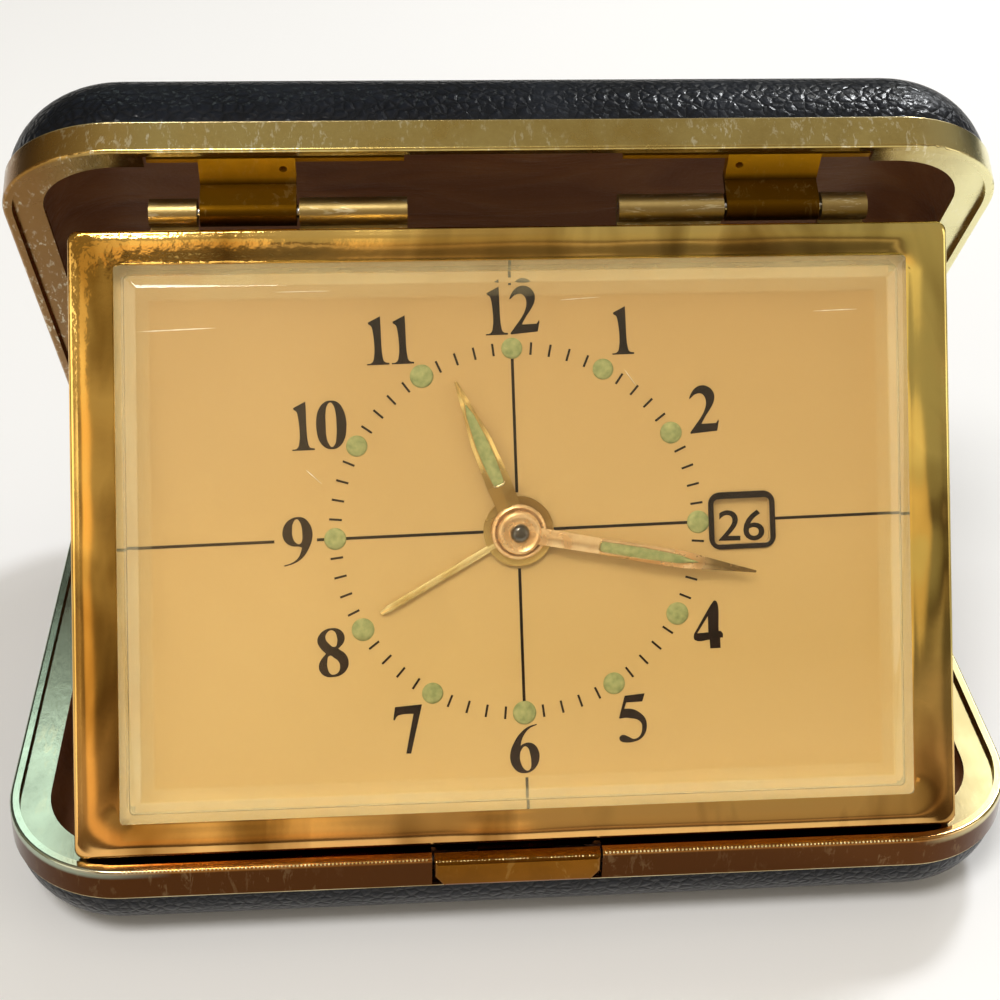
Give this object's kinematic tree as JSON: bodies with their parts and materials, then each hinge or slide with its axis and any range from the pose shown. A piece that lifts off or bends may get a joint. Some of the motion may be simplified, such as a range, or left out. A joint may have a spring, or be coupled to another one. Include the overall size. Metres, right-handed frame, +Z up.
{
  "type": "folding travel alarm clock",
  "caption": "Folding travel alarm clock with a date window, hinged between two leather-covered half shells that open into a tent-shaped stand.",
  "frame": {"origin": "centre of the base shell's flat underside, on the table", "axes": "+X to the right along the hinges, -Y towards the viewer of the dial, +Z up"},
  "size_m": [0.1084, 0.0859, 0.0798],
  "materials": {
    "leather": "fine-grained, glossy, dark navy black",
    "case_brass": "worn and lightly scratched",
    "gilt": "polished",
    "lining": "plum-brown satin",
    "clear": "clear moulded cover",
    "dial_paint": "satin champagne",
    "lume": "matt pale green paint",
    "black": "glossy",
    "date_paint": "satin champagne",
    "body_steel": "plated, satin",
    "movement_brass": "satin",
    "steel": "polished"
  },
  "bodies": {
    "base": {"base_shell": "leather", "base_rim": "case_brass", "base_lining": "lining", "base_hinge_leaf": "case_brass", "rear_hinge_pin": "steel", "latch_spring": "steel"},
    "latch": {"latch_button": "case_brass"},
    "lid": {"lid_shell": "leather", "lid_rim": "case_brass", "lid_lining": "lining", "lid_hinge_leaf": "case_brass", "left_hinge_plate": "gilt", "right_hinge_plate": "gilt"},
    "clock": {"case_body": "body_steel", "bezel": "gilt", "crystal": "clear", "back_cover": "body_steel", "dial": "dial_paint", "hour_dots": "lume", "date_window_frame": "black", "date_ring_seat": "movement_brass", "front_plate": "movement_brass", "back_plate": "movement_brass", "pillars": "movement_brass", "plate_screws": "steel", "back_cover_screws": "steel", "hairspring": "steel", "left_clock_leaf": "gilt", "right_clock_leaf": "gilt", "left_hinge_pin": "steel", "right_hinge_pin": "steel"},
    "minute_group": {"minute_hand": "gilt", "cannon_pinion": "movement_brass"},
    "hour_group": {"hour_hand": "gilt", "hour_wheel": "movement_brass"},
    "minute_work": {"minute_wheel": "movement_brass"},
    "date_drive": {"date_driver": "movement_brass"},
    "date_disc": {"date_ring": "date_paint"},
    "alarm_group": {"alarm_hand": "gilt", "alarm_wheel": "movement_brass"},
    "time_knob": {"time_setting_knob": "movement_brass"},
    "alarm_knob": {"alarm_setting_knob": "movement_brass"},
    "fourth": {"fourth_wheel": "movement_brass"},
    "third": {"third_wheel": "movement_brass"},
    "centre": {"centre_wheel": "steel"},
    "barrel": {"time_barrel": "movement_brass", "time_mainspring": "steel"},
    "escape": {"escape_wheel": "movement_brass"},
    "lever": {"pallet_lever": "steel"},
    "balance": {"balance_wheel": "movement_brass"},
    "alarm_drive": {"alarm_barrel": "movement_brass", "alarm_mainspring": "steel"},
    "alarm_escape": {"alarm_escape_wheel": "movement_brass"},
    "hammer": {"alarm_hammer": "steel"},
    "time_wind": {"time_key": "movement_brass", "time_arbor": "steel"},
    "alarm_wind": {"alarm_key": "movement_brass", "alarm_arbor": "steel"},
    "regulator_arm": {"regulator": "steel"},
    "stop": {"alarm_stop_button": "steel"}
  },
  "joints": [
    {"name": "lid_hinge", "type": "hinge", "parent": "base", "child": "lid", "pos_m": [0, 0.04035, 0.0115], "axis": [-1, 0, 0], "range_deg": [0, 38]},
    {"name": "clock_hinge", "type": "hinge", "parent": "lid", "child": "clock", "pos_m": [0, -0.00389, 0.06857], "axis": [1, 0, 0], "range_deg": [0, 62.88]},
    {"name": "latch_press", "type": "slide", "parent": "base", "child": "latch", "axis": [0, 1, 0], "range_m": [0, 0.0012], "stiffness_N_per_m": 400, "deforming": ["latch_spring"]},
    {"name": "minute_spin", "type": "hinge", "parent": "clock", "child": "minute_group", "pos_m": [0, -0.02007, 0.03878], "axis": [0, 0.8872, -0.4615], "continuous": true},
    {"name": "hour_spin", "type": "hinge", "parent": "clock", "child": "hour_group", "pos_m": [0, -0.02007, 0.03878], "axis": [0, 0.8872, -0.4615], "continuous": true},
    {"name": "minute_wheel_spin", "type": "hinge", "parent": "clock", "child": "minute_work", "pos_m": [0.0048, -0.0239, 0.0314], "axis": [0, 0.8872, -0.4615], "continuous": true},
    {"name": "time_knob_spin", "type": "hinge", "parent": "clock", "child": "time_knob", "pos_m": [0.01345, -0.02535, 0.02861], "axis": [0, 0.8872, -0.4615], "continuous": true},
    {"name": "date_driver_spin", "type": "hinge", "parent": "clock", "child": "date_drive", "pos_m": [-0.01231, -0.02007, 0.03878], "axis": [0, 0.8872, -0.4615], "continuous": true},
    {"name": "date_ring_spin", "type": "hinge", "parent": "clock", "child": "date_disc", "pos_m": [0, -0.02007, 0.03878], "axis": [0, 0.8872, -0.4615], "continuous": true},
    {"name": "alarm_hand_spin", "type": "hinge", "parent": "clock", "child": "alarm_group", "pos_m": [0, -0.02007, 0.03878], "axis": [0, 0.8872, -0.4615], "continuous": true},
    {"name": "alarm_knob_spin", "type": "hinge", "parent": "clock", "child": "alarm_knob", "pos_m": [-0.006, -0.01527, 0.048], "axis": [0, 0.8872, -0.4615], "continuous": true},
    {"name": "fourth_spin", "type": "hinge", "parent": "clock", "child": "fourth", "pos_m": [0.01615, -0.01531, 0.04792], "axis": [0, 0.8872, -0.4615], "continuous": true},
    {"name": "third_spin", "type": "hinge", "parent": "clock", "child": "third", "pos_m": [0.00595, -0.01531, 0.04792], "axis": [0, 0.8872, -0.4615], "continuous": true},
    {"name": "centre_spin", "type": "hinge", "parent": "clock", "child": "centre", "pos_m": [0, -0.02007, 0.03878], "axis": [0, 0.8872, -0.4615], "continuous": true},
    {"name": "barrel_spin", "type": "hinge", "parent": "clock", "child": "barrel", "pos_m": [-0.01114, -0.0252, 0.0289], "axis": [0, 0.8872, -0.4615], "continuous": true},
    {"name": "escape_spin", "type": "hinge", "parent": "clock", "child": "escape", "pos_m": [0.02183, -0.01843, 0.04193], "axis": [0, 0.8872, -0.4615], "continuous": true},
    {"name": "balance_swing", "type": "hinge", "parent": "clock", "child": "balance", "pos_m": [0.0327, -0.0244, 0.03045], "axis": [0, 0.8872, -0.4615], "range_deg": [-30, 30], "stiffness_Nm_per_rad": 0.000007},
    {"name": "lever_rock", "type": "hinge", "parent": "clock", "child": "lever", "pos_m": [0.02594, -0.02069, 0.03758], "axis": [0, 0.8872, -0.4615], "range_deg": [-5, 5]},
    {"name": "alarm_run", "type": "hinge", "parent": "clock", "child": "alarm_drive", "pos_m": [-0.028, -0.01291, 0.05253], "axis": [0, 0.8872, -0.4615], "continuous": true},
    {"name": "alarm_escape_spin", "type": "hinge", "parent": "clock", "child": "alarm_escape", "pos_m": [-0.0168, -0.01291, 0.05253], "axis": [0, 0.8872, -0.4615], "continuous": true},
    {"name": "hammer_swing", "type": "hinge", "parent": "clock", "child": "hammer", "pos_m": [-0.012, -0.00945, 0.05918], "axis": [0, 0.8872, -0.4615], "range_deg": [-11, 5]},
    {"name": "time_winding", "type": "hinge", "parent": "clock", "child": "time_wind", "pos_m": [-0.01114, -0.0252, 0.0289], "axis": [0, 0.8872, -0.4615], "continuous": true},
    {"name": "alarm_winding", "type": "hinge", "parent": "clock", "child": "alarm_wind", "pos_m": [-0.028, -0.01291, 0.05253], "axis": [0, 0.8872, -0.4615], "continuous": true},
    {"name": "regulator_swing", "type": "hinge", "parent": "clock", "child": "regulator_arm", "pos_m": [0.0327, -0.0244, 0.03045], "axis": [0, 0.8872, -0.4615], "range_deg": [-20, 20]},
    {"name": "alarm_stop_pull", "type": "slide", "parent": "clock", "child": "stop", "axis": [0, 0.8872, -0.4615], "range_m": [0, 0.0015]}
  ],
  "couplings": [
    {"joint": "clock_hinge", "follows": "lid_hinge", "ratio": 1.6547},
    {"joint": "hour_spin", "follows": "minute_spin", "ratio": 0.083333},
    {"joint": "minute_wheel_spin", "follows": "minute_spin", "ratio": -0.33333},
    {"joint": "time_knob_spin", "follows": "minute_spin", "ratio": 1.2},
    {"joint": "date_driver_spin", "follows": "minute_spin", "ratio": -0.041667},
    {"joint": "date_ring_spin", "follows": "minute_spin", "ratio": -0.0013441},
    {"joint": "alarm_knob_spin", "follows": "alarm_hand_spin", "ratio": -4},
    {"joint": "third_spin", "follows": "fourth_spin", "ratio": -0.13333},
    {"joint": "centre_spin", "follows": "fourth_spin", "ratio": 0.017778},
    {"joint": "barrel_spin", "follows": "fourth_spin", "ratio": -0.002963},
    {"joint": "escape_spin", "follows": "fourth_spin", "ratio": -8},
    {"joint": "lever_rock", "follows": "balance_swing", "ratio": -0.16667},
    {"joint": "alarm_escape_spin", "follows": "alarm_run", "ratio": -6}
  ]
}
